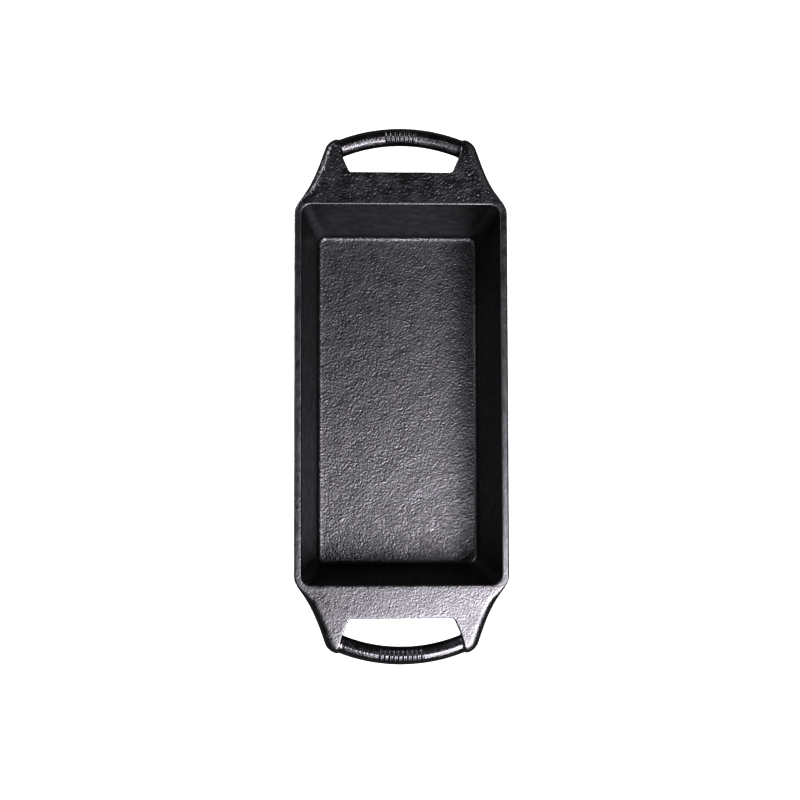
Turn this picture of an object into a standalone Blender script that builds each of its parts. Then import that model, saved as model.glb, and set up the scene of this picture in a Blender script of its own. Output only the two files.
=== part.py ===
"""Loaf pan with two loop handles, modelled as the single iron casting it is.

Metres, +Z up. The origin is the centre of the flat bottom face. X runs across the pan
and Y along it, from one handle to the other. The two handles are alike.
"""

import math

import bmesh
import bpy

MM = 0.001
UP = math.pi / 2

# Basin and walls
RIM_HEIGHT = 70.0 * MM
FLOOR_THICKNESS = 4.6 * MM
BASIN_HALF_WIDTH = 56.75 * MM
BASIN_HALF_LENGTH = 108.4 * MM
BASIN_CORNER = 5.5 * MM
WALL_AT_RIM = 4.35 * MM
OUTER_CORNER = 9.4 * MM
INNER_DRAFT = math.radians(7.0)
OUTER_DRAFT = math.radians(7.0)
RIM_EDGE_ROUND = 0.7 * MM
FLOOR_FILLET = 2.8 * MM
BOTTOM_ROUND = 5.0 * MM

# Handle web and its shoulders, level with the rim
WEB_THICKNESS = 7.0 * MM
WEB_ROOT_HALF_WIDTH = 58.2 * MM
WEB_ROOT_Y = 98.0 * MM
SIDE_SWEEP_RADIUS = 97.0 * MM
SIDE_START_ANGLE = math.radians(36.0)
SIDE_END_ANGLE = math.radians(19.6)
SHOULDER_RADIUS = 9.0 * MM
OUTER_ARC_RADIUS = 100.1 * MM
OUTER_ARC_CENTRE_Y = 54.3 * MM
ROLLED_EDGE = 4.5 * MM
ROLLED_EDGE_RUN = 12.0 * MM
WEB_UNDER_ROUND = 2.0 * MM

# Finger window, open towards the bar
WINDOW_EDGE_Y = 127.3 * MM
WINDOW_EDGE_HALF_WIDTH = 29.6 * MM
WINDOW_CORNER = 1.3 * MM
WINDOW_BAR_Y = 136.0 * MM
WINDOW_BAR_HALF_WIDTH = 33.4 * MM
WINDOW_END_Y = 158.0 * MM
WINDOW_END_HALF_WIDTH = 39.9 * MM

# Round grip bar between the shoulders
BAR_RADIUS = 5.15 * MM
BAR_DROP = 5.6 * MM
BAR_ARC_RADIUS = 93.5 * MM
BAR_APEX_Y = 148.6 * MM
BAR_FREE_ANGLE = math.radians(22.3)
BAR_ROOT_ANGLE = math.radians(25.3)
BAR_ROOT_DROP = 3.6 * MM
BAR_ROOT_SCALE = 0.6

# Facets in each rounded stretch
CORNER_STEPS = 8
ROUND_STEPS = 5
SWEEP_STEPS = 12
BAR_STEPS = 24
BAR_ROOT_STEPS = 4
BAR_BEVEL_RESOLUTION = 4

CUT_MARGIN = 6.0 * MM
WELD_DISTANCE = 0.00001


def clear_scene():
    for old in list(bpy.data.objects):
        bpy.data.objects.remove(old, do_unlink=True)


def new_collection(name):
    collection = bpy.data.collections.new(name)
    bpy.context.scene.collection.children.link(collection)
    return collection


def cast_iron_material():
    material = bpy.data.materials.new("seasoned_cast_iron")
    material.use_nodes = True
    shader = material.node_tree.nodes["Principled BSDF"]
    shader.inputs["Base Color"].default_value = (0.018, 0.018, 0.019, 1.0)
    shader.inputs["Roughness"].default_value = 0.42
    shader.inputs["Metallic"].default_value = 0.35
    material.diffuse_color = (0.018, 0.018, 0.019, 1.0)
    return material


def arc(centre, radius, start, end, steps):
    """Points along a circular arc, both ends included."""
    points = []
    for step in range(steps + 1):
        angle = start + (end - start) * step / steps
        points.append((centre[0] + radius * math.cos(angle), centre[1] + radius * math.sin(angle)))
    return points


def rounded_rectangle(half_x, half_y, corner):
    """Counter-clockwise outline of a rectangle with rounded corners."""
    centre_x = half_x - corner
    centre_y = half_y - corner
    points = []
    for quarter, (side_x, side_y) in enumerate(((1, 1), (-1, 1), (-1, -1), (1, -1))):
        centre = (side_x * centre_x, side_y * centre_y)
        points += arc(centre, corner, quarter * UP, (quarter + 1) * UP, CORNER_STEPS)
    return points


def loft(name, rings, collection):
    """Closed solid through rings of equally many points, listed from the bottom up."""
    bm = bmesh.new()
    loops = [[bm.verts.new(point) for point in ring] for ring in rings]
    count = len(loops[0])
    for lower, upper in zip(loops, loops[1:]):
        for i in range(count):
            j = (i + 1) % count
            bm.faces.new((lower[i], lower[j], upper[j], upper[i]))
    bm.faces.new(list(reversed(loops[0])))
    bm.faces.new(loops[-1])
    mesh = bpy.data.meshes.new(name)
    bm.to_mesh(mesh)
    bm.free()
    solid = bpy.data.objects.new(name, mesh)
    collection.objects.link(solid)
    return solid


def tub_ring(outset, height, corner):
    """Ring at one height, spread by outset from the basin's opening at the rim."""
    outline = rounded_rectangle(BASIN_HALF_WIDTH + outset, BASIN_HALF_LENGTH + outset, corner)
    return [(x, y, height) for x, y in outline]


def wall_line(height, rim_outset, draft):
    """Outset of a drafted wall face at a height."""
    return rim_outset - (RIM_HEIGHT - height) * math.tan(draft)


def outer_rings():
    """Rounded bottom edge, drafted outer wall and rounded rim edge, closed at the rim."""
    under_centre = (
        wall_line(BOTTOM_ROUND, WALL_AT_RIM, OUTER_DRAFT) - BOTTOM_ROUND / math.cos(OUTER_DRAFT),
        BOTTOM_ROUND,
    )
    rim_centre = (
        wall_line(RIM_HEIGHT - RIM_EDGE_ROUND, WALL_AT_RIM, OUTER_DRAFT)
        - RIM_EDGE_ROUND / math.cos(OUTER_DRAFT),
        RIM_HEIGHT - RIM_EDGE_ROUND,
    )
    profile = arc(under_centre, BOTTOM_ROUND, -UP, -OUTER_DRAFT, ROUND_STEPS)
    profile += arc(rim_centre, RIM_EDGE_ROUND, -OUTER_DRAFT, UP, ROUND_STEPS)
    return [
        tub_ring(outset, height, OUTER_CORNER + outset - wall_line(height, WALL_AT_RIM, OUTER_DRAFT))
        for outset, height in profile
    ]


def basin_rings():
    """Floor fillet, drafted inner wall and rounded lip, carried on above the rim."""
    floor_top = FLOOR_THICKNESS + FLOOR_FILLET
    floor_centre = (
        wall_line(floor_top, 0.0, INNER_DRAFT) - FLOOR_FILLET / math.cos(INNER_DRAFT),
        floor_top,
    )
    lip_height = RIM_HEIGHT - RIM_EDGE_ROUND
    lip_centre = (
        wall_line(lip_height, 0.0, INNER_DRAFT) + RIM_EDGE_ROUND / math.cos(INNER_DRAFT),
        lip_height,
    )
    profile = arc(floor_centre, FLOOR_FILLET, -UP, -INNER_DRAFT, ROUND_STEPS)
    profile += arc(lip_centre, RIM_EDGE_ROUND, 2 * UP - INNER_DRAFT, UP, ROUND_STEPS)
    profile.append((profile[-1][0], RIM_HEIGHT + CUT_MARGIN))
    return [
        tub_ring(outset, height, BASIN_CORNER + outset - wall_line(height, 0.0, INNER_DRAFT))
        for outset, height in profile
    ]


def shoulder_centre(side_end):
    """Centre of the shoulder arc, tangent to the straight side and to the outer arc."""
    normal = (math.cos(SIDE_END_ANGLE), math.sin(SIDE_END_ANGLE))
    along = (-normal[1], normal[0])
    start_x = side_end[0] - SHOULDER_RADIUS * normal[0]
    start_y = side_end[1] - SHOULDER_RADIUS * normal[1] - OUTER_ARC_CENTRE_Y
    reach = OUTER_ARC_RADIUS - SHOULDER_RADIUS
    half_b = start_x * along[0] + start_y * along[1]
    c = start_x ** 2 + start_y ** 2 - reach ** 2
    distance = -half_b + math.sqrt(half_b ** 2 - c)
    return (
        start_x + distance * along[0],
        start_y + OUTER_ARC_CENTRE_Y + distance * along[1],
    )


def web_half_outline():
    """Right half of the web's outline, from its root in the wall to the outer apex."""
    corner_x = BASIN_HALF_WIDTH + WALL_AT_RIM - OUTER_CORNER
    corner_y = BASIN_HALF_LENGTH + WALL_AT_RIM - OUTER_CORNER
    reach = OUTER_CORNER + SIDE_SWEEP_RADIUS
    sweep_centre = (
        corner_x + reach * math.cos(SIDE_START_ANGLE),
        corner_y + reach * math.sin(SIDE_START_ANGLE),
    )
    points = [(WEB_ROOT_HALF_WIDTH, WEB_ROOT_Y), (WEB_ROOT_HALF_WIDTH, corner_y)]
    points += arc(
        sweep_centre,
        SIDE_SWEEP_RADIUS,
        2 * UP + SIDE_START_ANGLE,
        2 * UP + SIDE_END_ANGLE,
        SWEEP_STEPS,
    )
    centre = shoulder_centre(points[-1])
    arc_start = math.atan2(centre[1] - OUTER_ARC_CENTRE_Y, centre[0])
    points += arc(centre, SHOULDER_RADIUS, SIDE_END_ANGLE, arc_start, CORNER_STEPS)
    points += arc((0.0, OUTER_ARC_CENTRE_Y), OUTER_ARC_RADIUS, arc_start, UP, SWEEP_STEPS)[1:]
    return points


def mirrored(half):
    """Whole outline from its right half, whose last point lies on the centre line."""
    return half + [(-x, y) for x, y in reversed(half[:-1])]


def outward_normals(outline):
    """Unit normal at each point of a counter-clockwise outline."""
    normals = []
    for i in range(len(outline)):
        before = outline[i - 1]
        after = outline[(i + 1) % len(outline)]
        along_x = after[0] - before[0]
        along_y = after[1] - before[1]
        length = math.hypot(along_x, along_y)
        normals.append((along_y / length, -along_x / length))
    return normals


def rolled_radius(y):
    """Top edge radius, growing from the pan's corner to the shoulder."""
    start = BASIN_HALF_LENGTH
    t = min(max((y - start) / ROLLED_EDGE_RUN, 0.0), 1.0)
    ease = t * t * (3.0 - 2.0 * t)
    return RIM_EDGE_ROUND + (ROLLED_EDGE - RIM_EDGE_ROUND) * ease


def web_rings():
    """Rings of the handle web, with a rounded underside and a rolled top edge."""
    outline = mirrored(web_half_outline())
    normals = outward_normals(outline)
    under = RIM_HEIGHT - WEB_THICKNESS
    rings = []
    for step in range(ROUND_STEPS + 1):
        angle = -UP * (1.0 - step / ROUND_STEPS)
        inset = WEB_UNDER_ROUND * (1.0 - math.cos(angle))
        height = under + WEB_UNDER_ROUND * (1.0 + math.sin(angle))
        rings.append([
            (x - inset * nx, y - inset * ny, height)
            for (x, y), (nx, ny) in zip(outline, normals)
        ])
    for step in range(ROUND_STEPS + 1):
        angle = UP * step / ROUND_STEPS
        ring = []
        for (x, y), (nx, ny) in zip(outline, normals):
            radius = rolled_radius(y)
            inset = radius * (1.0 - math.cos(angle))
            ring.append((x - inset * nx, y - inset * ny, RIM_HEIGHT - radius * (1.0 - math.sin(angle))))
        rings.append(ring)
    return rings


def window_half_outline():
    """Right half of the finger window, from the middle of its straight edge outwards."""
    side_run = (
        WINDOW_BAR_HALF_WIDTH - WINDOW_EDGE_HALF_WIDTH,
        WINDOW_BAR_Y - WINDOW_EDGE_Y,
    )
    lean = math.atan2(side_run[0], side_run[1])
    set_back = WINDOW_CORNER * math.tan((UP - lean) / 2)
    corner_centre = (WINDOW_EDGE_HALF_WIDTH - set_back, WINDOW_EDGE_Y + WINDOW_CORNER)
    points = arc(corner_centre, WINDOW_CORNER, -UP, -lean, ROUND_STEPS)
    points.append((WINDOW_BAR_HALF_WIDTH, WINDOW_BAR_Y))
    points.append((WINDOW_END_HALF_WIDTH, WINDOW_END_Y))
    return points


def mesh_from_curve(curve_object, collection):
    """Mesh object standing in for a curve, with its end caps welded on."""
    graph = bpy.context.evaluated_depsgraph_get()
    mesh = bpy.data.meshes.new_from_object(curve_object.evaluated_get(graph))
    bm = bmesh.new()
    bm.from_mesh(mesh)
    bmesh.ops.remove_doubles(bm, verts=bm.verts, dist=WELD_DISTANCE)
    bmesh.ops.recalc_face_normals(bm, faces=bm.faces)
    bm.to_mesh(mesh)
    bm.free()
    solid = bpy.data.objects.new(curve_object.name + "_solid", mesh)
    solid.matrix_world = curve_object.matrix_world
    collection.objects.link(solid)
    bpy.data.objects.remove(curve_object, do_unlink=True)
    return solid


def window_solid(collection):
    """Prism through the web that opens the finger window and frees the bar."""
    half = window_half_outline()
    outline = half + [(-x, y) for x, y in reversed(half)]
    curve = bpy.data.curves.new("finger_window", "CURVE")
    curve.dimensions = "2D"
    curve.fill_mode = "BOTH"
    curve.extrude = WEB_THICKNESS / 2 + CUT_MARGIN
    spline = curve.splines.new("POLY")
    spline.points.add(len(outline) - 1)
    spline.use_cyclic_u = True
    for point, (x, y) in zip(spline.points, outline):
        point.co = (x, y, 0.0, 1.0)
    window = bpy.data.objects.new("finger_window", curve)
    window.location.z = RIM_HEIGHT - WEB_THICKNESS / 2
    collection.objects.link(window)
    bpy.context.view_layer.update()
    return mesh_from_curve(window, collection)


def bar_stations():
    """Angle, drop below the rim and radius scale along the bar, from end to end."""
    root = []
    for step in range(1, BAR_ROOT_STEPS + 1):
        t = step / BAR_ROOT_STEPS
        ease = t * t
        root.append((
            BAR_FREE_ANGLE + (BAR_ROOT_ANGLE - BAR_FREE_ANGLE) * t,
            BAR_DROP + (BAR_ROOT_DROP - BAR_DROP) * ease,
            1.0 + (BAR_ROOT_SCALE - 1.0) * ease,
        ))
    stations = [(-angle, drop, scale) for angle, drop, scale in reversed(root)]
    for step in range(BAR_STEPS + 1):
        angle = BAR_FREE_ANGLE * (2.0 * step / BAR_STEPS - 1.0)
        stations.append((angle, BAR_DROP, 1.0))
    return stations + root


def bar_solid(collection):
    """Bowed round grip bar whose ends fade into the shoulders."""
    stations = bar_stations()
    curve = bpy.data.curves.new("grip_bar", "CURVE")
    curve.dimensions = "3D"
    curve.bevel_depth = BAR_RADIUS
    curve.bevel_resolution = BAR_BEVEL_RESOLUTION
    curve.use_fill_caps = True
    spline = curve.splines.new("POLY")
    spline.points.add(len(stations) - 1)
    centre_y = BAR_APEX_Y - BAR_ARC_RADIUS
    for point, (angle, drop, scale) in zip(spline.points, stations):
        x = BAR_ARC_RADIUS * math.sin(angle)
        y = centre_y + BAR_ARC_RADIUS * math.cos(angle)
        point.co = (x, y, RIM_HEIGHT - drop, 1.0)
        point.radius = scale
    bar = bpy.data.objects.new("grip_bar", curve)
    collection.objects.link(bar)
    bpy.context.view_layer.update()
    return mesh_from_curve(bar, collection)


def turned_copy(solid, collection):
    """Second solid on the same mesh, turned half round about the pan's axis."""
    copy = bpy.data.objects.new(solid.name + "_opposite", solid.data)
    copy.location = (-solid.location.x, -solid.location.y, solid.location.z)
    copy.rotation_euler = (0.0, 0.0, 2 * UP)
    collection.objects.link(copy)
    return copy


def hide_tool(solid):
    solid.hide_render = True
    solid.display_type = "WIRE"


def combine(casting, operation, tools):
    for tool in tools:
        hide_tool(tool)
        modifier = casting.modifiers.new(operation.lower() + "_" + tool.name, "BOOLEAN")
        modifier.operation = operation
        modifier.solver = "EXACT"
        modifier.object = tool


def build_casting(parts, cutters):
    """Outer block with webs and bars joined on, and the windows and basin cut out."""
    casting = loft("loaf_pan_casting", outer_rings(), parts)
    web = loft("handle_web", web_rings(), cutters)
    window = window_solid(cutters)
    bar = bar_solid(cutters)
    basin = loft("basin", basin_rings(), cutters)
    combine(casting, "UNION", [web, turned_copy(web, cutters)])
    combine(casting, "DIFFERENCE", [window, turned_copy(window, cutters)])
    combine(casting, "UNION", [bar, turned_copy(bar, cutters)])
    combine(casting, "DIFFERENCE", [basin])
    casting.data.materials.append(cast_iron_material())
    casting.data.shade_smooth()
    casting.data.set_sharp_from_angle(angle=math.radians(30))
    return casting


def main():
    clear_scene()
    parts = new_collection("loaf_pan")
    cutters = new_collection("loaf_pan_cutters")
    build_casting(parts, cutters)


main()
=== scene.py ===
import itertools
import math

import bmesh
import bpy
import numpy as np
from mathutils import Matrix, Vector


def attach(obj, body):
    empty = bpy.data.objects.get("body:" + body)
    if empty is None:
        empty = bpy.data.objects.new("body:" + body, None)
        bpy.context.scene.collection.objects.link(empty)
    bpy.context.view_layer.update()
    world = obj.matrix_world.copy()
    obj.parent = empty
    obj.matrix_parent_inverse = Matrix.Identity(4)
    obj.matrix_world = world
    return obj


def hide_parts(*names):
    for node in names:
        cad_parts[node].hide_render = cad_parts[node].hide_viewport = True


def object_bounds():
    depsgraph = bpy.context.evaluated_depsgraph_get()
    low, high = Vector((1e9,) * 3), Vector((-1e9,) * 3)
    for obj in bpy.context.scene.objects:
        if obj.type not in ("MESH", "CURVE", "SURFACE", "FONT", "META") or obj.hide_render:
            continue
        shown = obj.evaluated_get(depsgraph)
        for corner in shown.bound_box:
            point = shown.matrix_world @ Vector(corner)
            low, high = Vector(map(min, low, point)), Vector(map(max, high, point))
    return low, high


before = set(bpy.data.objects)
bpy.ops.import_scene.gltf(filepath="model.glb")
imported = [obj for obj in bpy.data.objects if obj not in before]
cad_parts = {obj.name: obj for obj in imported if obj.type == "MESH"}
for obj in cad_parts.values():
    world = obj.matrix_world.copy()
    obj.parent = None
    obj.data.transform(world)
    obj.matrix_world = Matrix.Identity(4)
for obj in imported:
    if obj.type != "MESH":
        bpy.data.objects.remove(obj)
CAD_LOW, CAD_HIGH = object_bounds()

# Driving sizes in metres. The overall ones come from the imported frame.
MM = 0.001
CASTING = "loaf_pan_casting"
RIM_HEIGHT = CAD_HIGH.z
HALF_LENGTH = CAD_HIGH.y
HALF_WIDTH = CAD_HIGH.x
FLOOR_TOP = 4.6 * MM
WALL = 4.25 * MM
END_WEB = 45.35 * MM
DRAFT = 0.1228
BASIN_MARGIN = 0.6 * MM
BAR_RADIUS = 5.15 * MM
BAR_DROP = 5.6 * MM
BAR_ARC_RADIUS = 93.5 * MM
BAR_HALF_WIDTH = 36.0 * MM
BAR_BOW = 20.0 * MM
BAR_MARGIN = 0.45 * MM

# The fine mesh. A second, softer one shows where the edges are and has no voxel steps.
VOXEL = 0.5 * MM
MERGE_DISTANCE = 0.002 * MM
SMOOTH_PASSES = 5
SOFTER_PASSES = 24
WORN_SHRINK = (0.12 * MM, 0.5 * MM)
FLAT_SHRINK = (0.02 * MM, 0.08 * MM)
BAR_JOINT = (37.5 * MM, 145.5 * MM)
JOINT_BLEND = (2.5 * MM, 6.0 * MM)

# The sand-cast relief: a fine grain over a slow swell, and how strong both are on each part.
GRAIN_HEIGHT = 0.088 * MM
GRAIN_LENGTH = 0.97 * MM
GRAIN_SPREAD = 0.25
GRAIN_SEED = 17
SWELL_HEIGHT = 0.03 * MM
SWELL_LENGTH = 14.0 * MM
SWELL_SPREAD = 0.4
SWELL_SEED = 12
FAR_WEB_GRAIN = 1.2
NEAR_WEB_GRAIN = 0.36
WEB_CHANGE = 100.0 * MM
OUTER_GRAIN = 0.65
RIM_GRAIN = 0.3
RIM_END_BLEND = 6.0 * MM
WALL_GRAIN = 0.16
FILLET_FROM = 0.8 * MM
FILLET_TO = 2.6 * MM
BAR_GRAIN = 0.3
EDGE_CALM = 0.85
EDGE_WEAR_FULL = 0.5

# The repeating block of noise behind the relief, turned so that its repeats don't line up with the pan.
BLOCK_CELLS = 128
CELLS_PER_WAVE = 4.0
BLOCK_TURN = Matrix.Rotation(0.9, 3, Vector((1.0, 2.0, 0.6)))

# The raised grip ribs across each bar.
RIB_PITCH = 2.6 * MM
RIB_HALF_WIDTH = 0.75 * MM
RIB_FLANK = (0.35, 1.25)
RIB_HEIGHT = 0.42 * MM
RIB_COUNT = {1: 7, -1: 10}
RIB_REACH = math.radians(68)
RIB_FADE = 0.3

# How far up a surface faces, as the height of its normal: up for a top, low for an outside wall.
TOP_FACING = (0.3, 0.8)
OUTSIDE_FACING = (-0.13, 0.06)

# The seasoning. Each pair runs from the thinly to the thickly baked patches.
PATCH_SIZE = 6.0 * MM
PATCH_RANGE = (0.35, 0.65)
SKIN = ((0.0004, 0.0003, 0.0005), (0.0014, 0.0012, 0.0015))
SKIN_ROUGHNESS = (0.43, 0.29)
ROUGHNESS_CHANGE = {"basin": 0.09, "bars": -0.05, "exterior": 0.10, "edge_wear": -0.08}
SPECKLE_SIZE = 1.4 * MM
SPECKLE_RANGE = (0.3, 0.7)
# The outside's lighter colour is partly the duller sand-cast skin and partly painted fill light on the outer
# walls and undersides.
OUTER_SKIN_AND_PAINTED_FILL = ((0.046, 0.045, 0.047), (0.075, 0.073, 0.075))
WORN_SKIN = (0.004, 0.0037, 0.0037)
WEAR_SHOWN = 0.6
IRON_IOR = 1.8
SHEEN = 0.48
BASIN_SHEEN = 0.53
WALL_SHEEN_CHANGE = -0.2
BUMP_SIZE = 0.9 * MM
BUMP_HEIGHT = 0.07 * MM

# The stage.
FLOOR_HALF = 4.0
FLOOR_GAP = 0.3 * MM
# A painted contact shadow: the glowing floor dims where ambient occlusion finds the pan within this reach.
PAINTED_SHADOW_REACH = 45.0 * MM
PAINTED_SHADOW_SAMPLES = 16
OPEN_SKY = (0.0, 0.75)
FLOOR_BRIGHTNESS = (0.12, 1.02)
FLOOR_GLOW = 0.2
HORIZON = (0.05, 0.45)
HORIZON_GLOW = (0.2, 0.03)

# Square lamps: name, place with its height above the rim, point on the rim plane it faces, side, watts.
TINT = (0.955, 0.915, 1.0)
LAMPS = (
    ("key", (0.10, -0.295, 0.385), (0.0, 0.0), 0.28, 3.25),
    ("high", (0.63, -0.46, 1.6), (0.0, 0.0), 0.6, 21.0),
    ("left", (-0.45, 0.02, 0.42), (0.0, 0.0), 0.25, 0.6),
    ("back_left", (-0.43, 0.413, 0.357), (-0.04, 0.13), 0.2, 1.7),
    ("back_right", (0.43, 0.413, 0.357), (0.04, 0.13), 0.2, 0.4),
)

# The camera, almost straight above: its height is above the rim, and its turns are in degrees.
CAMERA_PLACE = (-0.0312, -0.0496, 0.8311)
CAMERA_TURNS = (("Z", 0.124), ("X", -3.157), ("Y", 2.090))
SENSOR_WIDTH = 36.0
LENS = 65.889


def ramp(values, low, high):
    """0 below low, 1 above high, and a smooth step between."""
    t = np.clip((values - low) / (high - low), 0.0, 1.0)
    return t * t * (3.0 - 2.0 * t)


def between(first, second, share):
    return first + (second - first) * share


def vertex_arrays(mesh):
    count = len(mesh.vertices)
    points = np.empty(count * 3, np.float32)
    normals = np.empty(count * 3, np.float32)
    mesh.vertices.foreach_get("co", points)
    mesh.vertex_normals.foreach_get("vector", normals)
    return points.reshape(-1, 3).astype(float), normals.reshape(-1, 3).astype(float)


def move_vertices(mesh, points):
    mesh.vertices.foreach_set("co", points.astype(np.float32).ravel())
    mesh.update()


def store_mask(mesh, name, values):
    attribute = mesh.attributes.new(name, "FLOAT", "POINT")
    attribute.data.foreach_set("value", values.astype(np.float32))


def fine_copy(smooth_passes):
    """A fine, evenly meshed copy of the casting, with its sharp edges slightly rounded."""
    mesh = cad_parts[CASTING].data.copy()
    mesh.materials.clear()
    bm = bmesh.new()
    bm.from_mesh(mesh)
    bmesh.ops.remove_doubles(bm, verts=bm.verts, dist=MERGE_DISTANCE)
    bm.to_mesh(mesh)
    bm.free()
    coarse = bpy.data.objects.new("casting_draft", mesh)
    bpy.context.scene.collection.objects.link(coarse)
    remesh = coarse.modifiers.new("even_mesh", "REMESH")
    remesh.mode = "VOXEL"
    remesh.voxel_size = VOXEL
    smooth = coarse.modifiers.new("soften", "SMOOTH")
    smooth.factor = 0.5
    smooth.iterations = smooth_passes
    graph = bpy.context.evaluated_depsgraph_get()
    fine = bpy.data.meshes.new_from_object(coarse.evaluated_get(graph))
    bpy.data.objects.remove(coarse, do_unlink=True)
    return fine


def noise_block(spread, seed):
    """A repeating cube of random noise whose waves are mostly CELLS_PER_WAVE cells long."""
    steps = np.fft.fftfreq(BLOCK_CELLS) * CELLS_PER_WAVE
    squares = steps * steps
    size = np.sqrt(squares[:, None, None] + squares[None, :, None] + squares[None, None, :])
    size[0, 0, 0] = 1.0
    amplitude = np.exp(-np.log(size) ** 2 / (4.0 * spread * spread)) / size ** 1.5
    amplitude[0, 0, 0] = 0.0
    white = np.random.default_rng(seed).normal(size=size.shape)
    return np.fft.ifftn(np.fft.fftn(white) * amplitude).real


def grain(points, wavelength, spread, seed):
    """Isotropic random relief of one unit RMS, its waves mostly one wavelength long."""
    block = noise_block(spread, seed)
    cells = points @ np.array(BLOCK_TURN) * (CELLS_PER_WAVE / wavelength)
    low = np.floor(cells).astype(int)
    part = cells - low
    relief = np.zeros(len(points))
    for corner in itertools.product((0, 1), repeat=3):
        index = (low + corner) % BLOCK_CELLS
        share = np.prod(np.where(corner, part, 1.0 - part), axis=1)
        relief += share * block[index[:, 0], index[:, 1], index[:, 2]]
    return relief / relief.std()


def inside_basin(points):
    x = np.abs(points[:, 0])
    y = np.abs(points[:, 1])
    taper = BASIN_MARGIN - (RIM_HEIGHT - points[:, 2]) * DRAFT
    narrow = x < HALF_WIDTH - WALL + taper
    short = y < HALF_LENGTH - END_WEB + taper
    return narrow & short & (points[:, 2] > 0.6 * FLOOR_TOP)


def bar_frame(points):
    """Distance from the nearer bar's centre line, way along it, turn around it from the top, and its side."""
    side = np.sign(points[:, 1])
    centre = HALF_LENGTH - BAR_RADIUS - BAR_ARC_RADIUS
    out = np.abs(points[:, 1]) - centre
    reach = np.hypot(points[:, 0], out) - BAR_ARC_RADIUS
    rise = points[:, 2] - (RIM_HEIGHT - BAR_DROP)
    along = BAR_ARC_RADIUS * np.arctan2(points[:, 0], out)
    return np.hypot(reach, rise), along, np.arctan2(reach, rise), side


def on_bars(points):
    near = bar_frame(points)[0] < BAR_RADIUS + BAR_MARGIN
    beyond = np.abs(points[:, 1]) > HALF_LENGTH - BAR_BOW
    return near & beyond & (np.abs(points[:, 0]) < BAR_HALF_WIDTH)


def rib_relief(points, bars):
    """Plain raised ribs side by side across the middle of each bar."""
    along, turn, side = bar_frame(points)[1:]
    relief = np.zeros(len(points))
    for sign, count in RIB_COUNT.items():
        step = along / RIB_PITCH + (count - 1) / 2.0
        nearest = np.clip(np.round(step), 0, count - 1)
        offset = np.abs(step - nearest) * RIB_PITCH / RIB_HALF_WIDTH
        profile = 1.0 - ramp(offset, *RIB_FLANK)
        fade = 1.0 - ramp(np.abs(turn), RIB_REACH - RIB_FADE, RIB_REACH)
        relief += (side == sign) * profile * fade
    return relief * bars * RIB_HEIGHT


def grain_strength(points, normals, bars, wear):
    """Coarsest on the floor and the far web, finest on the walls, rim and bars, and calm at the edges."""
    web_end = HALF_LENGTH - END_WEB
    web = between(NEAR_WEB_GRAIN, FAR_WEB_GRAIN, ramp(points[:, 1], -WEB_CHANGE, WEB_CHANGE))
    on_web = ramp(np.abs(points[:, 1]), web_end, web_end + RIM_END_BLEND)
    top = between(RIM_GRAIN, web, on_web)
    outer = between(OUTER_GRAIN, top, ramp(normals[:, 2], *TOP_FACING))
    off_floor = ramp(points[:, 2], FLOOR_TOP + FILLET_FROM, FLOOR_TOP + FILLET_TO)
    inner = between(1.0, WALL_GRAIN, off_floor)
    strength = np.where(inside_basin(points), inner, outer)
    strength[bars] = BAR_GRAIN
    return strength * (1.0 - EDGE_CALM * ramp(wear, 0.0, EDGE_WEAR_FULL))


def cast_surface(mesh, wear):
    points, normals = vertex_arrays(mesh)
    bars = on_bars(points)
    relief = GRAIN_HEIGHT * grain(points, GRAIN_LENGTH, GRAIN_SPREAD, GRAIN_SEED)
    relief += SWELL_HEIGHT * grain(points, SWELL_LENGTH, SWELL_SPREAD, SWELL_SEED)
    height = relief * grain_strength(points, normals, bars, wear) + rib_relief(points, bars)
    move_vertices(mesh, points + normals * height[:, None])


def even_surface(mesh, points, soft_points, shrink):
    """Flat parts, and the ends of the bars, take the softer mesh."""
    flat = 1.0 - ramp(np.abs(shrink), *FLAT_SHRINK)
    across = np.abs(points[:, 0]) - BAR_JOINT[0]
    out = np.abs(points[:, 1]) - BAR_JOINT[1]
    at_joint = 1.0 - ramp(np.hypot(across, out), *JOINT_BLEND)
    move_vertices(mesh, between(points, soft_points, np.maximum(flat, at_joint)[:, None]))


def store_masks(mesh, points, normals, wear):
    """The parts that the material treats differently."""
    inside = inside_basin(points)
    bars = on_bars(points)
    outside = ~inside & ~bars
    store_mask(mesh, "edge_wear", wear)
    store_mask(mesh, "basin", inside)
    store_mask(mesh, "bars", bars)
    store_mask(mesh, "walls", inside * (1.0 - ramp(normals[:, 2], *TOP_FACING)))
    store_mask(mesh, "exterior", outside * (1.0 - ramp(normals[:, 2], *OUTSIDE_FACING)))


def pan_mesh():
    """Convex edges wear, and they are where the mesh shrinks when it is smoothed further."""
    mesh = fine_copy(SMOOTH_PASSES)
    softer = fine_copy(SOFTER_PASSES)
    points, normals = vertex_arrays(mesh)
    soft_points = vertex_arrays(softer)[0]
    bpy.data.meshes.remove(softer)
    shrink = np.sum((points - soft_points) * normals, axis=1)
    wear = ramp(shrink, *WORN_SHRINK)
    even_surface(mesh, points, soft_points, shrink)
    store_masks(mesh, points, normals, wear)
    cast_surface(mesh, wear)
    mesh.name = "loaf_pan"
    mesh.shade_smooth()
    return mesh


def build_pan():
    pan = bpy.data.objects.new("loaf_pan", pan_mesh())
    bpy.context.scene.collection.objects.link(pan)
    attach(pan, "root")
    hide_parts(CASTING)
    return pan


def remap(tree, value, source, target, shape="LINEAR"):
    """The value moved from the source range to the target range, and held within it."""
    node = tree.nodes.new("ShaderNodeMapRange")
    node.interpolation_type = shape
    names = ("From Min", "From Max", "To Min", "To Max")
    for name, number in zip(names, (*source, *target)):
        node.inputs[name].default_value = number
    tree.links.new(value, node.inputs["Value"])
    return node.outputs["Result"]


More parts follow.
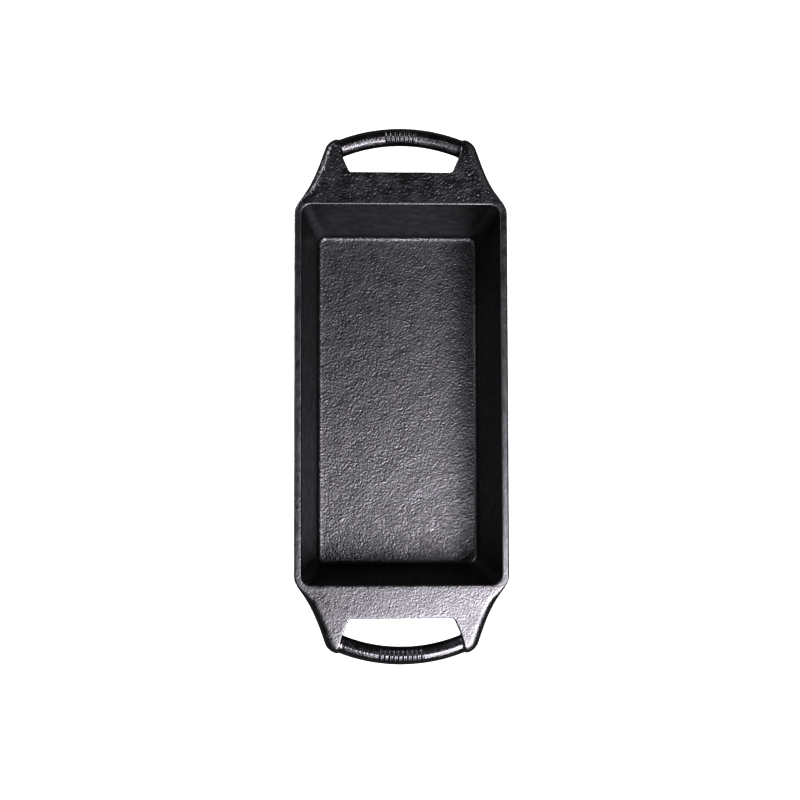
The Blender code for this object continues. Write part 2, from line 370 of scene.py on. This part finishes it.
class NodeGraph:
    """Short calls for building a material's node tree."""

    def __init__(self, name):
        self.material = bpy.data.materials.new(name)
        self.material.use_nodes = True
        self.tree = self.material.node_tree
        self.nodes = self.tree.nodes
        self.links = self.tree.links
        self.shader = self.nodes["Principled BSDF"]
        self.place = self.nodes.new("ShaderNodeTexCoord").outputs["Object"]

    def noise(self, size, detail=2.0, roughness=0.5):
        """Noise whose features are about size metres across."""
        node = self.nodes.new("ShaderNodeTexNoise")
        node.inputs["Scale"].default_value = 1.0 / size
        node.inputs["Detail"].default_value = detail
        node.inputs["Roughness"].default_value = roughness
        self.links.new(self.place, node.inputs["Vector"])
        return node.outputs["Fac"]

    def mask(self, name):
        node = self.nodes.new("ShaderNodeAttribute")
        node.attribute_name = name
        return node.outputs["Fac"]

    def remap(self, value, source, target):
        return remap(self.tree, value, source, target)

    def shift(self, value, mask, amount):
        """The value, changed by amount where the named mask is 1."""
        node = self.nodes.new("ShaderNodeMath")
        node.operation = "MULTIPLY_ADD"
        self.links.new(self.mask(mask), node.inputs[0])
        node.inputs[1].default_value = amount
        self.links.new(value, node.inputs[2])
        return node.outputs[0]

    def mix_colour(self, factor, first, second):
        node = self.nodes.new("ShaderNodeMix")
        node.data_type = "RGBA"
        self.links.new(factor, node.inputs["Factor"])
        for socket, colour in ((node.inputs["A"], first), (node.inputs["B"], second)):
            if isinstance(colour, tuple):
                socket.default_value = (*colour, 1.0)
            else:
                self.links.new(colour, socket)
        return node.outputs["Result"]

    def bump(self, height, distance):
        node = self.nodes.new("ShaderNodeBump")
        node.inputs["Distance"].default_value = distance
        self.links.new(height, node.inputs["Height"])
        return node.outputs["Normal"]

    def set(self, name, value):
        self.links.new(value, self.shader.inputs[name])


def iron_material():
    """Black seasoned iron: a thin satin skin, mottled by how thickly it was baked on; lighter on the outside,
    partly a duller cast skin and partly painted fill light.
    """
    graph = NodeGraph("seasoned_iron")
    patches = graph.noise(PATCH_SIZE, 3.0, 0.6)
    speckle = graph.noise(SPECKLE_SIZE)
    skin = graph.mix_colour(graph.remap(patches, PATCH_RANGE, (0.0, 1.0)), *SKIN)
    outer_skin_and_fill = graph.mix_colour(graph.remap(speckle, SPECKLE_RANGE, (0.0, 1.0)), *OUTER_SKIN_AND_PAINTED_FILL)
    # Outer walls and undersides take the lighter colour: partly cast skin, partly painted fill light.
    colour = graph.mix_colour(graph.mask("exterior"), skin, outer_skin_and_fill)
    worn = graph.remap(graph.mask("edge_wear"), (0.0, 1.0), (0.0, WEAR_SHOWN))
    graph.set("Base Color", graph.mix_colour(worn, colour, WORN_SKIN))
    rough = graph.remap(patches, PATCH_RANGE, SKIN_ROUGHNESS)
    for mask, amount in ROUGHNESS_CHANGE.items():
        rough = graph.shift(rough, mask, amount)
    graph.set("Roughness", rough)
    sheen = graph.remap(graph.mask("basin"), (0.0, 1.0), (SHEEN, BASIN_SHEEN))
    graph.set("Specular IOR Level", graph.shift(sheen, "walls", WALL_SHEEN_CHANGE))
    graph.shader.inputs["IOR"].default_value = IRON_IOR
    graph.set("Normal", graph.bump(graph.noise(BUMP_SIZE), BUMP_HEIGHT))
    return graph.material


def floor_material():
    """White, with a painted shadow where ambient occlusion finds the pan's foot close by, and a dim glow to
    the pan itself.
    """
    material = bpy.data.materials.new("pale_floor")
    material.use_nodes = True
    tree = material.node_tree
    tree.nodes.remove(tree.nodes["Principled BSDF"])
    open_sky = tree.nodes.new("ShaderNodeAmbientOcclusion")
    open_sky.inputs["Distance"].default_value = PAINTED_SHADOW_REACH
    open_sky.samples = PAINTED_SHADOW_SAMPLES
    # Painted shadow: the floor's glow follows the ambient occlusion near the pan's foot.
    brightness = remap(tree, open_sky.outputs["AO"], OPEN_SKY, FLOOR_BRIGHTNESS)
    rays = tree.nodes.new("ShaderNodeLightPath")
    shown = tree.nodes.new("ShaderNodeMix")
    shown.inputs["A"].default_value = FLOOR_GLOW
    tree.links.new(rays.outputs["Is Camera Ray"], shown.inputs["Factor"])
    tree.links.new(brightness, shown.inputs["B"])
    glow = tree.nodes.new("ShaderNodeEmission")
    tree.links.new(shown.outputs["Result"], glow.inputs["Strength"])
    tree.links.new(glow.outputs[0], tree.nodes["Material Output"].inputs["Surface"])
    return material


def stage_floor():
    mesh = bpy.data.meshes.new("floor")
    corners = [(-1, -1), (1, -1), (1, 1), (-1, 1)]
    mesh.from_pydata([(x * FLOOR_HALF, y * FLOOR_HALF, 0.0) for x, y in corners], [], [(0, 1, 2, 3)])
    mesh.materials.append(floor_material())
    floor = bpy.data.objects.new("floor", mesh)
    floor.location.z = CAD_LOW.z - FLOOR_GAP
    bpy.context.scene.collection.objects.link(floor)


def softbox(name, place, target, side, watts):
    light = bpy.data.lights.new(name, "AREA")
    light.shape = "SQUARE"
    light.size = side
    light.energy = watts
    light.color = TINT
    lamp = bpy.data.objects.new(name, light)
    bpy.context.scene.collection.objects.link(lamp)
    lamp.location = Vector(place) + Vector((0.0, 0.0, RIM_HEIGHT))
    facing = Vector((*target, RIM_HEIGHT)) - lamp.location
    lamp.rotation_euler = facing.to_track_quat("-Z", "Y").to_euler()
    lamp.visible_camera = False


def set_world():
    """White behind the object; a soft glow low around the horizon, and little light from above."""
    world = bpy.data.worlds.new("studio")
    bpy.context.scene.world = world
    world.use_nodes = True
    tree = world.node_tree
    light = tree.nodes["Background"]
    light.inputs["Color"].default_value = (1.0, 1.0, 1.0, 1.0)
    direction = tree.nodes.new("ShaderNodeSeparateXYZ")
    place = tree.nodes.new("ShaderNodeTexCoord")
    tree.links.new(place.outputs["Generated"], direction.inputs["Vector"])
    glow = remap(tree, direction.outputs["Z"], HORIZON, HORIZON_GLOW, "SMOOTHSTEP")
    tree.links.new(glow, light.inputs["Strength"])
    seen = tree.nodes.new("ShaderNodeBackground")
    seen.inputs["Color"].default_value = (1.0, 1.0, 1.0, 1.0)
    rays = tree.nodes.new("ShaderNodeLightPath")
    mix = tree.nodes.new("ShaderNodeMixShader")
    tree.links.new(rays.outputs["Is Camera Ray"], mix.inputs["Fac"])
    tree.links.new(light.outputs[0], mix.inputs[1])
    tree.links.new(seen.outputs[0], mix.inputs[2])
    tree.links.new(mix.outputs[0], tree.nodes["World Output"].inputs["Surface"])


def set_camera():
    data = bpy.data.cameras.new("camera")
    data.sensor_width = SENSOR_WIDTH
    data.lens = LENS
    data.clip_start = 0.01
    turn = Matrix.Identity(4)
    for axis, degrees in CAMERA_TURNS:
        turn = turn @ Matrix.Rotation(math.radians(degrees), 4, axis)
    place = Vector(CAMERA_PLACE) + Vector((0.0, 0.0, RIM_HEIGHT))
    camera = bpy.data.objects.new("camera", data)
    camera.matrix_world = Matrix.Translation(place) @ turn.transposed()
    bpy.context.scene.collection.objects.link(camera)
    bpy.context.scene.camera = camera


pan = build_pan()
pan.data.materials.append(iron_material())
stage_floor()
set_world()
for lamp in LAMPS:
    softbox(*lamp)
set_camera()
bpy.context.scene.view_settings.view_transform = "Standard"
bpy.context.scene.view_settings.look = "High Contrast"
